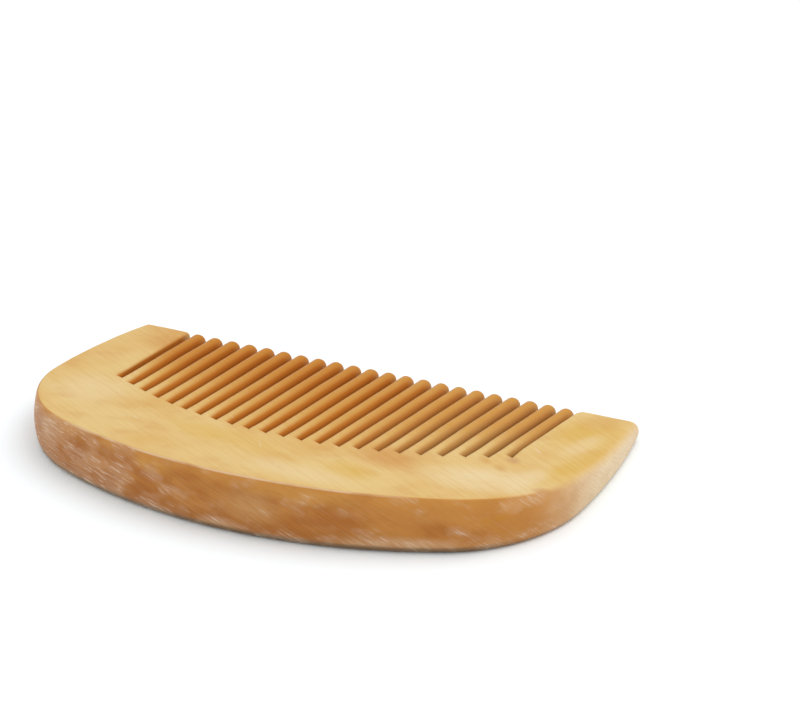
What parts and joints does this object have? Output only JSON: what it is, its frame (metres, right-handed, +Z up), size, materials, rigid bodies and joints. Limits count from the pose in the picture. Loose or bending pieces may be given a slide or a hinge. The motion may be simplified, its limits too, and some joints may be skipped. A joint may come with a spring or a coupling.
{
  "type": "hair comb",
  "caption": "Half-moon wooden hair comb: thick curved back with a rounded rim, fine straight teeth between two wide end teeth, tapering to thin tips.",
  "frame": {"origin": "under the middle of the comb's bounding box, in the plane of the lower face that it lies on", "axes": "+X along the comb, +Y along the teeth towards their tips, +Z up from the lower face"},
  "size_m": [0.092, 0.052, 0.0099],
  "materials": {
    "wood": "oiled and hand polished, satin"
  },
  "bodies": {
    "root": {"spine": "wood", "left_guard": "wood", "right_guard": "wood", "tooth_01": "wood", "tooth_02": "wood", "tooth_03": "wood", "tooth_04": "wood", "tooth_05": "wood", "tooth_06": "wood", "tooth_07": "wood", "tooth_08": "wood", "tooth_09": "wood", "tooth_10": "wood", "tooth_11": "wood", "tooth_12": "wood", "tooth_13": "wood", "tooth_14": "wood", "tooth_15": "wood", "tooth_16": "wood", "tooth_17": "wood", "tooth_18": "wood", "tooth_19": "wood", "tooth_20": "wood", "tooth_21": "wood", "tooth_22": "wood"}
  },
  "joints": []
}
